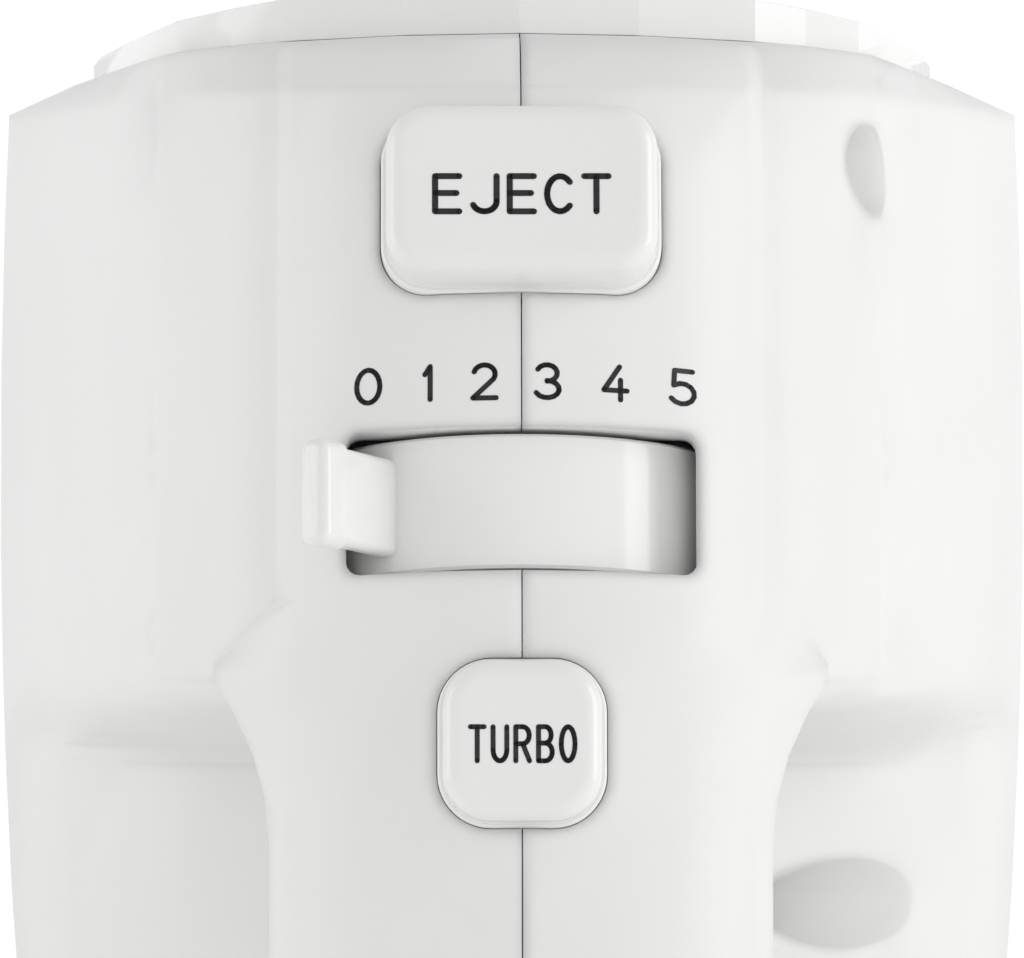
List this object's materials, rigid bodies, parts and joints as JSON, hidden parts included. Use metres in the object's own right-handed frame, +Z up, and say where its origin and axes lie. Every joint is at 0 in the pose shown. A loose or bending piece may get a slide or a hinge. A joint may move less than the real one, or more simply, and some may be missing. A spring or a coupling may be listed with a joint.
{
  "type": "hand mixer",
  "caption": "White electric hand mixer with twin wire beaters, eject button, rotary speed selector and boost button, standing nose up on its heel.",
  "frame": {"origin": "middle of the heel's flat rest face, with the mixer standing nose up", "axes": "+Z up towards the nose, +Y along the beaters away from the handle, +X to the right when the handle faces the viewer"},
  "size_m": [0.09, 0.2599, 0.1968],
  "materials": {
    "satin_abs": "satin",
    "gloss_abs": "gloss",
    "soft_rubber": "matte",
    "steel": "satin",
    "chrome": "polished",
    "copper": "satin",
    "brass": "satin",
    "bronze": "matte",
    "lamination_steel": "satin",
    "carbon": "matte",
    "black_plastic": "matte",
    "natural_nylon": "satin",
    "circuit_laminate": "satin",
    "aluminium": "satin"
  },
  "bodies": {
    "housing": {"left_shell": "satin_abs", "right_shell": "satin_abs", "nose_cap": "gloss_abs", "heel_cap": "soft_rubber", "cord_gland": "soft_rubber", "screw_nose_top": "steel", "screw_nose_base": "steel", "screw_grip_front": "steel", "screw_handle_rear": "steel", "screw_heel_base": "steel", "selector_axle": "steel", "speed_switch": "black_plastic", "turbo_switch": "black_plastic", "turbo_spring": "steel", "eject_spring": "steel", "circuit_board": "circuit_laminate", "heat_sink": "aluminium", "stator_core": "lamination_steel", "rear_bracket": "aluminium", "front_bracket": "aluminium", "rear_bearing": "bronze", "front_bearing": "bronze", "gear_frame": "aluminium", "field_coil_left": "copper", "brush_holder_left": "brass", "brush_left": "carbon", "spindle_bush_left": "natural_nylon", "field_coil_right": "copper", "brush_holder_right": "brass", "brush_right": "carbon", "spindle_bush_right": "natural_nylon"},
    "motor_rotor": {"motor_shaft": "steel", "armature_core": "lamination_steel", "commutator": "copper", "cooling_fan": "natural_nylon"},
    "left_drive": {"worm_wheel_left": "natural_nylon", "spindle_left": "steel"},
    "right_drive": {"worm_wheel_right": "natural_nylon", "spindle_right": "steel"},
    "left_beater": {"beater_shaft_left": "chrome", "beater_loop_outer_left": "chrome", "beater_loop_inner_left": "chrome"},
    "right_beater": {"beater_shaft_right": "chrome", "beater_loop_outer_right": "chrome", "beater_loop_inner_right": "chrome"},
    "eject_press": {"eject_button": "gloss_abs"},
    "eject_carrier": {"eject_fork": "black_plastic"},
    "selector": {"selector_drum": "gloss_abs"},
    "turbo_press": {"turbo_button": "gloss_abs"}
  },
  "joints": [
    {"name": "motor_spin", "type": "hinge", "parent": "housing", "child": "motor_rotor", "pos_m": [0, 0.038, 0.148], "axis": [0, 0, 1], "continuous": true},
    {"name": "left_spindle_spin", "type": "hinge", "parent": "housing", "child": "left_drive", "pos_m": [-0.019, 0.038, 0.148], "axis": [0, 1, 0], "continuous": true},
    {"name": "right_spindle_spin", "type": "hinge", "parent": "housing", "child": "right_drive", "pos_m": [0.019, 0.038, 0.148], "axis": [0, 1, 0], "continuous": true},
    {"name": "eject_button_press", "type": "slide", "parent": "housing", "child": "eject_press", "axis": [0, 0.9685, -0.2489], "range_m": [0, 0.005], "stiffness_N_per_m": 900, "springref_m": -0.002, "deforming": ["eject_spring"]},
    {"name": "eject_fork_slide", "type": "slide", "parent": "housing", "child": "eject_carrier", "axis": [0, 1, 0], "range_m": [0, 0.00485]},
    {"name": "left_beater_slide", "type": "slide", "parent": "left_drive", "child": "left_beater", "axis": [0, 1, 0], "range_m": [0, 0.00485]},
    {"name": "right_beater_slide", "type": "slide", "parent": "right_drive", "child": "right_beater", "axis": [0, 1, 0], "range_m": [0, 0.00485]},
    {"name": "selector_turn", "type": "hinge", "parent": "housing", "child": "selector", "pos_m": [0, -0.03708, 0.15096], "axis": [0, 0.1843, 0.9829], "range_deg": [0, 75]},
    {"name": "turbo_button_press", "type": "slide", "parent": "housing", "child": "turbo_press", "axis": [0, 0.9916, -0.1291], "range_m": [0, 0.0025], "stiffness_N_per_m": 600, "springref_m": -0.001, "deforming": ["turbo_spring"]}
  ],
  "couplings": [
    {"joint": "left_spindle_spin", "follows": "motor_spin", "ratio": 0.066667},
    {"joint": "right_spindle_spin", "follows": "motor_spin", "ratio": -0.066667},
    {"joint": "eject_fork_slide", "follows": "eject_button_press", "ratio": 0.9685},
    {"joint": "left_beater_slide", "follows": "eject_button_press", "ratio": 0.9685},
    {"joint": "right_beater_slide", "follows": "eject_button_press", "ratio": 0.9685}
  ]
}
